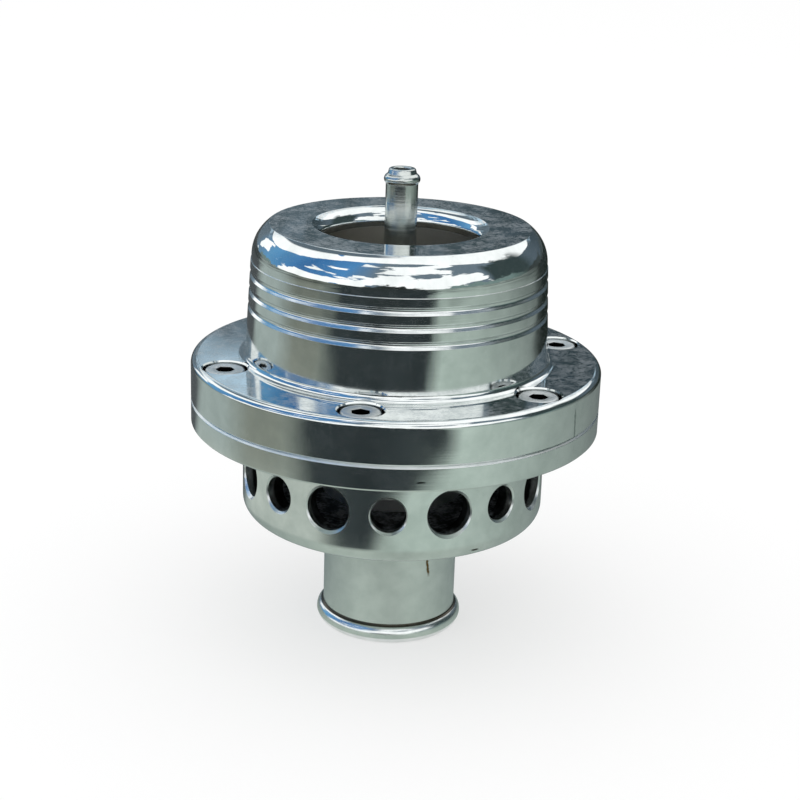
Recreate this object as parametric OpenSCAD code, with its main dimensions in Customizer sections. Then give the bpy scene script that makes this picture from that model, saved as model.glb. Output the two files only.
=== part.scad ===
// Blow off valve: a spring-loaded diaphragm lifts a poppet off its seat, and the air
// from the inlet pipe leaves through a ring of holes in the lower housing.
// The axis is +Z, the origin is the middle of the pipe's lower end, and the front is -Y.

/* [Inlet pipe] */
// Outside diameter of the inlet pipe
inlet_d = 25; // [23:0.5:28]
// Bore of the inlet pipe
inlet_bore_d = 21; // [18:0.5:22]
// Length of the pipe below the vented body
inlet_l = 22.4; // [15:0.2:40]
// Radius of the rolled bead's round section
bead_section_r = 1.9; // [1.4:0.1:2.5]
// How far the bead stands out from the pipe
bead_rise = 1.2; // [0.6:0.1:1.8]

/* [Vented body] */
// How far the vented body stands in from the flange's rim
body_inset = 9.5; // [9:0.1:10.5]
// Wall of the vented body
body_wall = 3.6; // [3:0.1:4.4]
// Height of the vented body below its flange
body_h = 17.6; // [16:0.2:24]
// Thickness of the body's floor
body_floor = 4; // [3:0.2:5]
// Rounding of the body's lower edge
body_corner_r = 3; // [1:0.2:3.4]
// Vents of each of the two sizes
vent_pairs = 8; // [4:1:8]
// Diameter of the large vents
large_vent_d = 8; // [6:0.1:9]
// Diameter of the small vents
small_vent_d = 6.3; // [4:0.1:8]
// Height of the vent centres above the body's underside
vent_h = 9.3; // [8.6:0.1:12]
// Width of the deburred edge round a vent
vent_chamfer = 0.25; // [0.1:0.05:0.5]
// Turn of the small vents from the front, in degrees
vent_turn = -1; // [-11:0.5:11]

/* [Valve seat] */
// Bore of the seat
throat_d = 20; // [16:0.5:21]
// Outside diameter of the seat
seat_d = 26; // [24:0.5:30]
// Height of the seat above the body's floor
seat_h = 2.6; // [1:0.1:4]

/* [Flanges] */
// Diameter of both flanges
flange_d = 75; // [68:0.5:90]
// Thickness of the lower flange
lower_flange_t = 4.5; // [4:0.1:8]
// Thickness of the upper flange
upper_flange_t = 7.8; // [7:0.1:12]
// Rounding of the upper flange's top edge
flange_edge_r = 1.3; // [0.5:0.1:2]
// Chamfer on the flange edges at the seam and below
seam_chamfer = 0.35; // [0.1:0.05:0.6]

/* [Cap] */
// How far the cap's foot stands in from the flange's rim
cap_inset = 9.8; // [9:0.1:10.3]
// How far the cap's side leans in up to its shoulder
cap_draft = 0.95; // [0.6:0.05:1.4]
// Height of the cap above the flange
cap_h = 24.4; // [23.8:0.1:36]
// Fillet between the cap and the flange
base_fillet_r = 1.3; // [0.5:0.1:2]
// Wall of the cap
cap_wall = 3.5; // [2.6:0.1:3.8]
// Thickness of the cap's roof
cap_roof = 3.7; // [3:0.1:4.6]
// Radius of the shoulder's curve
shoulder_r = 7; // [6.5:0.1:9]
// Height of the shoulder's curve
shoulder_drop = 5.8; // [4:0.1:6.4]
// Step between the shoulder and the grooved band
shoulder_step = 0.15; // [0.05:0.05:0.3]
// Grooves round the cap
groove_count = 3; // [1:1:3]
// Width of a groove
groove_w = 1.4; // [0.8:0.1:2]
// Depth of a groove
groove_depth = 0.4; // [0.2:0.05:0.6]
// Spacing of the grooves
groove_pitch = 2.93; // [2.6:0.01:3.1]
// Height of the lowest groove above the flange
groove_h = 9.8; // [5:0.1:10]

/* [Well] */
// How far the well stands in from the cap's side
well_inset = 12.75; // [12.3:0.05:14]
// Depth of the well
well_depth = 12.7; // [8:0.1:14]
// Radius of the well's rounded lip
well_lip_r = 3; // [2:0.1:4]
// Height of the well's rounded lip
well_lip_drop = 2.8; // [1:0.1:3.8]
// Wall round the well
well_wall = 2.5; // [2:0.1:3]
// Thickness of the well's floor
well_floor = 3; // [2:0.1:3.2]

/* [Vacuum nipple] */
// Diameter of the nipple's tube
nipple_d = 5.8; // [5:0.1:8]
// Bore of the nipple
nipple_bore_d = 3; // [2:0.1:3.6]
// Height of the nipple above the cap
nipple_h = 10.2; // [8:0.1:30]
// Diameter over the nipple's hose bead
nipple_bead_d = 6.5; // [6:0.1:9]
// Radius of the bead's round section
nipple_bead_r = 1; // [0.6:0.1:1.2]
// Length of the tapered tip
nipple_tip_l = 1.9; // [1.2:0.1:4]
// Diameter at the end of the tip
nipple_tip_d = 4.7; // [4:0.1:5]
// Diameter of the nipple's collar
collar_d = 10; // [9:0.5:14]
// Height of the nipple's collar
collar_h = 2; // [1:0.1:4]
// Thickness of the seal ring under the collar
nipple_seal_t = 1; // [0.5:0.1:2]

/* [Screws] */
// Screws round the flanges
screw_count = 6; // [4:1:10]
// Thread diameter of the screws
screw_d = 4; // [3:0.1:4.2]
// Length of a screw under its head
screw_l = 8; // [7:0.5:12]
// Diameter of a screw head
screw_head_d = 7; // [6.6:0.1:7.2]
// Height of a screw head
screw_head_h = 4; // [3:0.1:4.4]
// Width across flats of the socket
socket_w = 3; // [2:0.1:3.6]
// Depth of the socket
socket_depth = 2; // [1:0.1:2.6]
// Gap round a screw head in its counterbore
counterbore_gap = 0.5; // [0.2:0.05:0.6]
// How far the heads sit below the flange's top
head_sink = 0.2; // [0:0.05:0.6]
// Distance of the screws from the flange's rim
screw_inset = 5.25; // [4.5:0.05:5.5]
// Turn of the first screw from the front, in degrees
screw_turn = -10; // [-30:1:30]

/* [Diaphragm] */
// Gap between the diaphragm's rim and the screws
diaphragm_gap = 1.25; // [0.8:0.05:2.2]
// Thickness of the rubber
diaphragm_t = 1.2; // [0.8:0.1:1.4]
// Width of the sloping web between the rim and the middle
web_w = 6; // [4:0.1:7]
// How far the middle sits below the rim with the valve shut
dish_drop = 3.5; // [2:0.1:4]
// Width of the bead round the rim
rim_bead_w = 2.2; // [1:0.1:3]
// Height of the bead round the rim
rim_bead_h = 1.3; // [0.5:0.1:1.5]
// Thickness of the pressed plate and cup
plate_t = 1.2; // [0.8:0.1:1.6]

/* [Valve] */
// Diameter of the poppet's head
head_d = 29; // [28:0.5:34]
// Thickness of the poppet's head
head_t = 3; // [2.6:0.1:4]
// Diameter of the boss on the poppet's head
boss_d = 12; // [10:0.5:16]
// Height of the boss on the poppet's head
boss_h = 3; // [2:0.1:4]
// Diameter of the stem
stem_d = 8; // [7.4:0.1:10]
// Diameter of the stem's threaded ends
thread_d = 6; // [5:0.1:6.4]
// Width of the rubber seal's section
seal_w = 2.4; // [1.6:0.1:3]
// Thickness of the rubber seal
seal_t = 2; // [1.4:0.1:2.2]
// How far the seal stands out below the head
seal_proud = 0.4; // [0.2:0.1:0.8]
// Width across flats of the stem's nut
nut_w = 10; // [9:0.5:12]
// Height of the stem's nut
nut_h = 5; // [3:0.1:5.6]
// Diameter of the stem's washer
washer_d = 12.4; // [12:0.2:18]
// Thickness of the stem's washer
washer_t = 1.2; // [0.6:0.1:1.6]

/* [Return spring] */
// Wire of the return spring
wire_d = 2.4; // [1.6:0.1:3]
// Turns of the return spring
spring_turns = 5; // [4:1:6]
// Thickness of the shim above the spring
shim_t = 0.8; // [0.4:0.1:1.6]

/* [Hidden] */
$fn = 96;

// Small distance by which a cut runs past the face that it opens
past = 0.5;
// How much is faced off the bead to give the pipe a flat end
bead_flat = 0.15;
// Clearance of a threaded end in its hole, and of a piece laid in a groove
thread_gap = 0.05;
groove_gap = 0.1;
// Gap between the seal and the seat with the valve shut
seat_gap = 0.05;
// Gap between the plates and the sloping web, and round the spring cup's brim
plate_gap = 0.6;
brim_gap = 0.7;
// Height of the spring cup's brim above the seam
brim_rise = 3.6;
// Clearance of a screw's shank in the upper flange, and of its tip above the flange's underside
shank_gap = 0.2;
// How far the stem's end stands out of its nut
stem_end_l = 0.8;

// Heights, from the pipe's end upwards
body_z = inlet_l;
floor_z = body_z + body_floor;
seat_z = floor_z + seat_h;
vent_z = body_z + vent_h;
lower_flange_z = body_z + body_h;
seam_z = lower_flange_z + lower_flange_t;
flange_top_z = seam_z + upper_flange_t;
cap_z = flange_top_z + cap_h;
roof_z = cap_z - cap_roof;
shoulder_z = cap_z - shoulder_drop;
well_floor_z = cap_z - well_depth;
well_under_z = well_floor_z - well_floor;
nipple_top_z = cap_z + nipple_h;

// Radii of the housings, from the flange inwards
flange_r = flange_d / 2;
bolt_r = flange_r - screw_inset;
inlet_r = inlet_d / 2;
bead_c_r = inlet_r + bead_rise - bead_section_r;
bead_c_z = bead_section_r - bead_flat;
body_r = flange_r - body_inset;
chamber_r = body_r - body_wall;
cap_base_r = flange_r - cap_inset;
cap_top_r = cap_base_r - cap_draft;
spring_room_r = cap_top_r - cap_wall;
well_r = cap_top_r - well_inset;
well_cup_r = well_r + well_wall;

// Grooved band: its grooves, and the step where one more would end
groove_z0 = flange_top_z + groove_h;
groove_arc_r = (pow(groove_w / 2, 2) + pow(groove_depth, 2)) / (2 * groove_depth);
step_z = groove_z0 + groove_count * groove_pitch - groove_w / 2;
cap_slope = (cap_base_r - cap_top_r) / (step_z - flange_top_z);
function cap_side_r(z) = cap_base_r - cap_slope * (z - flange_top_z);

// Diaphragm: a flat rim in the seam, a sloping web and a flat middle below it
rim_z = seam_z - diaphragm_t;
middle_z = rim_z - dish_drop;
cup_z = middle_z + diaphragm_t;
rim_r = bolt_r - screw_d / 2 - diaphragm_gap;
web_in_r = chamber_r - web_w;

// Valve: what is stacked on the stem
plate_r = web_in_r - plate_gap;
plate_z = middle_z - plate_t;
seal_z = seat_z + seat_gap;
head_z = seal_z + seal_proud;
boss_z = head_z + head_t + boss_h;
washer_z = cup_z + plate_t;
nut_z = washer_z + washer_t;
stem_top_z = nut_z + nut_h + stem_end_l;
thread_r = thread_d / 2;
seal_mid_r = (throat_d + seat_d) / 4;

// Return spring, between the cup's brim and the shim under the roof
brim_z = seam_z + brim_rise;
brim_r = spring_room_r - brim_gap;
spring_z = brim_z + plate_t + groove_gap;
spring_top_z = roof_z - shim_t - groove_gap;
spring_mid_r = (well_cup_r + spring_room_r) / 2;

// Screws
head_under_z = flange_top_z - head_sink - screw_head_h;
counterbore_r = screw_head_d / 2 + counterbore_gap;

aluminium = "#c8ced0";
steel = "#9a9da0";
rubber = "#25272a";

// Sliver between two edges at right angles and the arc that rounds them. Its corner is at
// the origin, its arms lie along +X and +Y, and it runs a little past the corner when it cuts.
module corner_sliver(r, run = 0) {
    difference() {
        translate([-run, -run]) square(r + run);
        translate([r, r]) circle(r);
    }
}

// Triangle that cuts a chamfer off a corner at the origin, with its arms along +X and +Y
module corner_chamfer(c) {
    polygon([[-past, -past], [c + past, -past], [-past, c + past]]);
}

// Copies of a piece round the axis, the first one turned from the front
module ring_of(count, turn, r) {
    for (i = [0 : count - 1])
        rotate(turn - 90 + i * 360 / count) translate([r, 0, 0]) children();
}

// A flat ring
module washer(outer_r, inner_r, t) {
    difference() {
        cylinder(r = outer_r, h = t);
        translate([0, 0, -past]) cylinder(r = inner_r, h = t + 2 * past);
    }
}

// One radial hole through the body's wall, with its deburred outer edge, turned as one cutter
module vent(d) {
    r = d / 2;
    inner = sqrt(pow(chamber_r, 2) - pow(r, 2)) - past;
    edge = sqrt(pow(body_r, 2) - pow(r, 2)) - vent_chamfer;
    outer = body_r + past;
    rotate([0, 90, 0]) rotate_extrude()
        polygon([[0, inner], [r, inner], [r, edge], [r + outer - edge, outer], [0, outer]]);
}

// Beaded pipe, screwed into the body's floor down to a collar. The collar's top is the seat.
module inlet_pipe() {
    color(aluminium) rotate_extrude() difference() {
        union() {
            square([inlet_r, seat_z]);
            translate([0, floor_z]) square([seat_d / 2, seat_h]);
            translate([bead_c_r, bead_c_z]) circle(bead_section_r);
        }
        translate([0, -bead_section_r]) square([inlet_r + bead_section_r, bead_section_r]);
        translate([0, -past]) square([inlet_bore_d / 2, body_z + past]);
        square([throat_d / 2, seat_z + past]);
    }
}

// Vented body and lower flange, turned from one bar
module lower_housing() {
    color(aluminium) difference() {
        rotate_extrude() difference() {
            union() {
                translate([0, body_z]) difference() {
                    square([body_r, body_h + lower_flange_t]);
                    translate([body_r, 0]) rotate(90) corner_sliver(body_corner_r, past);
                }
                translate([0, lower_flange_z]) difference() {
                    square([flange_r, lower_flange_t]);
                    translate([flange_r, 0]) rotate(90) corner_chamfer(seam_chamfer);
                    translate([flange_r, lower_flange_t]) rotate(180) corner_chamfer(seam_chamfer);
                }
            }
            translate([0, body_z - past]) square([inlet_r + thread_gap, body_floor + 2 * past]);
            translate([0, floor_z]) square([chamber_r, seam_z - floor_z + past]);
            translate([chamber_r - past, rim_z])
                square([rim_r + groove_gap - chamber_r + past, diaphragm_t + past]);
            translate([rim_r - rim_bead_w - groove_gap, rim_z - rim_bead_h - groove_gap])
                square([rim_bead_w + 2 * groove_gap, rim_bead_h + groove_gap + past]);
        }
        translate([0, 0, vent_z]) {
            ring_of(vent_pairs, vent_turn, 0) vent(small_vent_d);
            ring_of(vent_pairs, vent_turn + 180 / vent_pairs, 0) vent(large_vent_d);
        }
        translate([0, 0, lower_flange_z - past]) ring_of(screw_count, screw_turn, bolt_r)
            cylinder(r = screw_d / 2 + thread_gap, h = lower_flange_t + 2 * past);
    }
}

// Outline of the cap and the upper flange, still solid inside
module upper_outline() {
    translate([0, seam_z]) difference() {
        square([flange_r, upper_flange_t]);
        translate([flange_r, 0]) rotate(90) corner_chamfer(seam_chamfer);
        translate([flange_r, upper_flange_t]) rotate(180) corner_sliver(flange_edge_r, past);
    }
    translate([cap_side_r(flange_top_z + base_fillet_r / 2), flange_top_z]) corner_sliver(base_fillet_r);
    difference() {
        polygon([[0, seam_z], [cap_base_r, seam_z], [cap_base_r, flange_top_z], [cap_top_r, step_z], [0, step_z]]);
        for (i = [0 : groove_count - 1])
            let (z = groove_z0 + i * groove_pitch)
                translate([cap_side_r(z) + groove_arc_r - groove_depth, z]) circle(groove_arc_r);
    }
    translate([0, step_z - past]) square([cap_top_r - shoulder_step, shoulder_z - step_z + past]);
    translate([0, shoulder_z]) intersection() {
        square([cap_top_r, shoulder_drop]);
        union() {
            translate([cap_top_r - shoulder_step - shoulder_r, 0]) circle(shoulder_r);
            square([cap_top_r - shoulder_step - shoulder_r, shoulder_drop]);
        }
    }
}

// Cap, well and upper flange, turned from one bar
module upper_housing() {
    color(aluminium) difference() {
        rotate_extrude() difference() {
            upper_outline();
            translate([0, well_floor_z]) square([well_r, well_depth + past]);
            translate([well_r - past, cap_z - well_lip_drop]) difference() {
                square([well_lip_r + past, well_lip_drop + past]);
                translate([well_lip_r + past, 0]) circle(well_lip_r);
                translate([well_lip_r + past, -past])
                    square([past, well_lip_drop + 2 * past]);
            }
            translate([0, seam_z - past]) difference() {
                square([spring_room_r, roof_z - seam_z + past]);
                translate([0, well_under_z - seam_z + past]) square([well_cup_r, cap_z]);
            }
        }
        translate([0, 0, well_under_z - past])
            cylinder(r = nipple_d / 2 + thread_gap, h = well_floor + 2 * past);
        ring_of(screw_count, screw_turn, bolt_r) {
            translate([0, 0, seam_z - past])
                cylinder(r = screw_d / 2 + shank_gap, h = upper_flange_t + 2 * past);
            translate([0, 0, head_under_z])
                cylinder(r = counterbore_r, h = flange_top_z - head_under_z + base_fillet_r + past);
        }
    }
}

// Turned hose nipple, screwed into the well's floor down to its collar
module vacuum_nipple() {
    collar_z = well_floor_z + nipple_seal_t;
    bead_z = nipple_top_z - nipple_tip_l;
    color(aluminium) rotate_extrude() difference() {
        union() {
            translate([0, well_under_z]) square([nipple_d / 2, bead_z - well_under_z]);
            translate([0, collar_z]) square([collar_d / 2, collar_h]);
            translate([nipple_bead_d / 2 - nipple_bead_r, bead_z]) circle(nipple_bead_r);
            polygon([[0, bead_z], [nipple_d / 2, bead_z], [nipple_tip_d / 2, nipple_top_z], [0, nipple_top_z]]);
        }
        translate([-past, well_under_z - past])
            square([nipple_bore_d / 2 + past, nipple_top_z - well_under_z + 2 * past]);
    }
}

// Soft ring that seals the nipple's collar on the well's floor
module nipple_seal() {
    color(rubber) translate([0, 0, well_floor_z])
        washer(collar_d / 2, nipple_d / 2 + thread_gap, nipple_seal_t);
}

// One socket-head cap screw, with the underside of its head at the origin
module cap_screw() {
    difference() {
        union() {
            cylinder(d = screw_head_d, h = screw_head_h);
            translate([0, 0, -screw_l]) cylinder(d = screw_d, h = screw_l + screw_head_h / 2);
        }
        translate([0, 0, screw_head_h - socket_depth])
            cylinder(d = socket_w / cos(30), h = socket_depth + past, $fn = 6);
    }
}

// Screws that clamp the flanges and the diaphragm's rim
module flange_screws() {
    color(steel) translate([0, 0, head_under_z]) ring_of(screw_count, screw_turn, bolt_r) cap_screw();
}

// Moulded rubber diaphragm: beaded rim, sloping web and flat middle
module diaphragm() {
    hole_r = thread_r + thread_gap;
    bead_in_r = rim_r - rim_bead_w;
    color(rubber) rotate_extrude() polygon([
        [hole_r, middle_z], [web_in_r, middle_z], [chamber_r, rim_z], [bead_in_r, rim_z],
        [bead_in_r, rim_z - rim_bead_h], [rim_r, rim_z - rim_bead_h], [rim_r, seam_z],
        [chamber_r, seam_z], [web_in_r, cup_z], [hole_r, cup_z]
    ]);
}

// Pressed disc under the diaphragm's middle
module diaphragm_plate() {
    color(steel) translate([0, 0, plate_z]) washer(plate_r, thread_r + thread_gap, plate_t);
}

// Pressed cup on the diaphragm's middle. Its brim carries the return spring above the web.
module spring_cup() {
    color(steel) rotate_extrude() {
        translate([thread_r + thread_gap, cup_z]) square([plate_r - thread_r - thread_gap, plate_t]);
        translate([plate_r - plate_t, cup_z]) square([plate_t, brim_z + plate_t - cup_z]);
        translate([plate_r - plate_t, brim_z]) square([brim_r - plate_r + plate_t, plate_t]);
    }
}

// Stem with a thread at each end: the poppet below, the diaphragm stack above
module valve_stem() {
    color(steel) {
        translate([0, 0, head_z + head_t / 2]) cylinder(r = thread_r, h = stem_top_z - head_z - head_t / 2);
        translate([0, 0, boss_z]) cylinder(d = stem_d, h = plate_z - boss_z);
    }
}

// Poppet head with a boss for the stem and a groove for its seal
module valve_head() {
    color(aluminium) translate([0, 0, head_z]) difference() {
        union() {
            cylinder(d = head_d, h = head_t);
            cylinder(d = boss_d, h = head_t + boss_h);
        }
        translate([0, 0, head_t / 2]) cylinder(r = thread_r + thread_gap, h = head_t / 2 + boss_h + past);
        translate([0, 0, -past])
            washer(seal_mid_r + seal_w / 2, seal_mid_r - seal_w / 2, seal_t - seal_proud + past);
    }
}

// Rubber ring in the poppet's groove, which meets the seat
module seat_seal() {
    color(rubber) translate([0, 0, seal_z])
        washer(seal_mid_r + seal_w / 2, seal_mid_r - seal_w / 2, seal_t);
}

// Plain washer under the stem's nut
module stem_washer() {
    color(steel) translate([0, 0, washer_z]) washer(washer_d / 2, thread_r + thread_gap, washer_t);
}

// Hexagon nut that holds the diaphragm stack on the stem
module stem_nut() {
    color(steel) translate([0, 0, nut_z]) difference() {
        cylinder(d = nut_w / cos(30), h = nut_h, $fn = 6);
        translate([0, 0, -past]) cylinder(r = thread_r + thread_gap, h = nut_h + 2 * past);
    }
}

// Height of the spring wire's middle after t turns: close end turns, even turns between them
close_pitch = wire_d * 1.05;
spring_rise = spring_top_z - spring_z - wire_d;
open_pitch = (spring_rise - 2 * close_pitch) / (spring_turns - 2);
function coil_z(t) =
    spring_z + wire_d / 2
    + close_pitch * min(t, 1)
    + open_pitch * max(0, min(t - 1, spring_turns - 2))
    + close_pitch * max(0, t - spring_turns + 1);

// Round wire wound round the axis, as rings of points joined by faces
coil_steps = 24;
wire_sides = 8;
function coil_ring(t) = [
    for (k = [0 : wire_sides - 1])
        let (a = 360 * k / wire_sides, r = spring_mid_r + wire_d / 2 * cos(a))
            [r * cos(360 * t), r * sin(360 * t), coil_z(t) + wire_d / 2 * sin(a)]
];

// Helical return spring
module return_spring() {
    rings = coil_steps * spring_turns;
    points = [for (i = [0 : rings]) each coil_ring(i / coil_steps)];
    sides = [
        for (i = [0 : rings - 1], k = [0 : wire_sides - 1])
            let (a = i * wire_sides + k, b = i * wire_sides + (k + 1) % wire_sides)
                [a, a + wire_sides, b + wire_sides, b]
    ];
    first_end = [for (k = [0 : wire_sides - 1]) k];
    last_end = [for (k = [wire_sides - 1 : -1 : 0]) rings * wire_sides + k];
    color(steel) polyhedron(points, concat(sides, [first_end, last_end]));
}

// Steel ring that keeps the spring off the cap's roof
module spring_shim() {
    color(steel) translate([0, 0, roof_z - shim_t])
        washer(spring_room_r - groove_gap, well_cup_r + groove_gap, shim_t);
}

inlet_pipe();
lower_housing();
upper_housing();
vacuum_nipple();
nipple_seal();
flange_screws();
diaphragm();
diaphragm_plate();
spring_cup();
valve_stem();
valve_head();
seat_seal();
stem_washer();
stem_nut();
return_spring();
spring_shim();
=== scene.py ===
"""Blow off valve: the finish of every piece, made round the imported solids, in metres."""

import math

import bmesh
import bpy
import numpy as np
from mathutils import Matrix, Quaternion, Vector


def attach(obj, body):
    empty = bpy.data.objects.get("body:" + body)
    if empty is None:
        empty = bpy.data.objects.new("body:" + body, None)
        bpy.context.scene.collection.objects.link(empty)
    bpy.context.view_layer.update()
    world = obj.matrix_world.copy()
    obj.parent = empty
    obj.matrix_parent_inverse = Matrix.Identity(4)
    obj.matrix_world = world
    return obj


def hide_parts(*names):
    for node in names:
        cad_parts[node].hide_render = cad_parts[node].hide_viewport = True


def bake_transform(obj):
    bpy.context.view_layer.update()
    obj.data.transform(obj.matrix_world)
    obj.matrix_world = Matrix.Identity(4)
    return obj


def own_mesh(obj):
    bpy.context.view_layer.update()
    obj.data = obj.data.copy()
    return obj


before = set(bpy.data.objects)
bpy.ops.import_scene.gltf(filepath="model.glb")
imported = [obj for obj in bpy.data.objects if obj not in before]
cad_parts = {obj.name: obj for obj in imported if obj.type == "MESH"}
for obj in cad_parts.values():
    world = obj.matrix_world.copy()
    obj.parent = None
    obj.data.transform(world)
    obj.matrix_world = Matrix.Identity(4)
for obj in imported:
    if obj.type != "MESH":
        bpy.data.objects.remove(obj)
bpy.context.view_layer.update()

# Inlet pipe: turned from aluminium bar, with a rolled bead that holds the hose. Its upper end is
# screwed into the body's floor down to a collar, and the collar's top is the valve's seat.
# The outside is brushed to a satin finish, and the bore is painted near black as shade.
def arc(centre_r, centre_z, radius, first, last, step=3.0):
    """Points along an arc of an outline, in mm and degrees."""
    count = max(2, math.ceil(abs(last - first) / step))
    turns = [math.radians(first + (last - first) * i / count) for i in range(count + 1)]
    return [(centre_r + radius * math.cos(a), centre_z + radius * math.sin(a)) for a in turns]


def outline(corners, closed=True, step=7.5, near=0.08):
    """Outline in mm from corners (radius, height) or (radius, height, rounding). Long straight
    runs get a point close to each end, which keeps flat faces flat in a reflection."""
    rounded = []
    for i, corner in enumerate(corners):
        here = Vector(corner[:2])
        if len(corner) == 2:
            rounded.append(here)
            continue
        back = (Vector(corners[i - 1][:2]) - here).normalized()
        ahead = (Vector(corners[(i + 1) % len(corners)][:2]) - here).normalized()
        half = back.angle(ahead) / 2
        cut = corner[2] / math.tan(half)
        middle = here + (back + ahead).normalized() * corner[2] / math.sin(half)
        start, end = here + back * cut - middle, here + ahead * cut - middle
        swing = start.angle_signed(end)
        count = max(2, math.ceil(math.degrees(abs(swing)) / step))
        for k in range(count + 1):
            a = -swing * k / count
            rounded.append(middle + Vector((
                start.x * math.cos(a) - start.y * math.sin(a),
                start.x * math.sin(a) + start.y * math.cos(a))))
    points = []
    last = len(rounded) if closed else len(rounded) - 1
    for i in range(last):
        a, b = rounded[i], rounded[(i + 1) % len(rounded)]
        points.append(a)
        length = (b - a).length
        if length > 6 * near:
            points += [a.lerp(b, near / length), b.lerp(a, near / length)]
    if not closed:
        points.append(rounded[-1])
    return [(p.x, p.y) for p in points]


def placed(name, data):
    """A new object in the scene."""
    made = bpy.data.objects.new(name, data)
    bpy.context.scene.collection.objects.link(made)
    return made


def turned(name, points, sides=96, closed=True):
    """A piece turned about the axis from its outline. An open outline starts and ends on the axis."""
    bm = bmesh.new()
    turns = [2 * math.pi * i / sides for i in range(sides)]
    rings = []
    for r, z in points:
        around = turns if r > 1e-6 else turns[:1]
        rings.append([bm.verts.new((r * math.sin(a) / 1000, -r * math.cos(a) / 1000, z / 1000))
                      for a in around])
    for low, high in zip(rings, rings[1:] + (rings[:1] if closed else [])):
        for i in range(sides):
            j = (i + 1) % sides
            corners = [low[i % len(low)], low[j % len(low)], high[j % len(high)], high[i % len(high)]]
            corners = list(dict.fromkeys(corners))
            if len(corners) > 2:
                bm.faces.new(corners)
    bmesh.ops.recalc_face_normals(bm, faces=bm.faces)
    mesh = bpy.data.meshes.new(name)
    bm.to_mesh(mesh)
    bm.free()
    smooth(mesh)
    return placed(name, mesh)


def smooth(mesh, crease=33):
    """Smooth shading, with edges kept sharp where faces meet at more than the crease angle."""
    mesh.shade_smooth()
    mesh.set_sharp_from_angle(angle=math.radians(crease))


def add(tree, kind, inputs=None, **settings):
    """Adds a node with its settings. An input is a value, or the node or socket that feeds it."""
    made = tree.nodes.new(kind)
    for setting, value in settings.items():
        setattr(made, setting, value)
    for socket, value in (inputs or {}).items():
        if isinstance(value, bpy.types.Node):
            value = next(output for output in value.outputs if output.enabled)
        if isinstance(value, bpy.types.NodeSocket):
            tree.links.new(value, made.inputs[socket])
        else:
            made.inputs[socket].default_value = value
    return made


def linear(code):
    """Linear colour of an sRGB hex value."""
    parts = [int(code[i:i + 2], 16) / 255 for i in (1, 3, 5)]
    return (*[c / 12.92 if c <= 0.04045 else ((c + 0.055) / 1.055) ** 2.4 for c in parts], 1.0)


def new_material(name):
    """A material with an empty node tree, and that tree."""
    material = bpy.data.materials.new(name)
    material.use_nodes = True
    material.node_tree.nodes.clear()
    return material, material.node_tree


def on_the_lathe(tree):
    """Where a point of the surface lies, in mm: its place, its place in the section that was turned,
    its place's three parts and its distance from the axis."""
    place = add(tree, "ShaderNodeTexCoord").outputs["Object"]
    mm = add(tree, "ShaderNodeVectorMath", {0: place, "Scale": 1000.0}, operation="SCALE")
    part = add(tree, "ShaderNodeSeparateXYZ", {0: mm}).outputs
    across = add(tree, "ShaderNodeCombineXYZ", {0: part[0], 1: part[1]})
    radius = add(tree, "ShaderNodeVectorMath", {0: across}, operation="LENGTH")
    section = add(tree, "ShaderNodeCombineXYZ", {0: radius, 1: part[2]})
    return mm, section, part, radius


def where_all(tree, *amounts):
    """The product of some amounts from 0 to 1, which is high only where all of them are."""
    product = amounts[0]
    for amount in amounts[1:]:
        product = add(tree, "ShaderNodeMath", {0: product, 1: amount}, operation="MULTIPLY")
    return product


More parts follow.
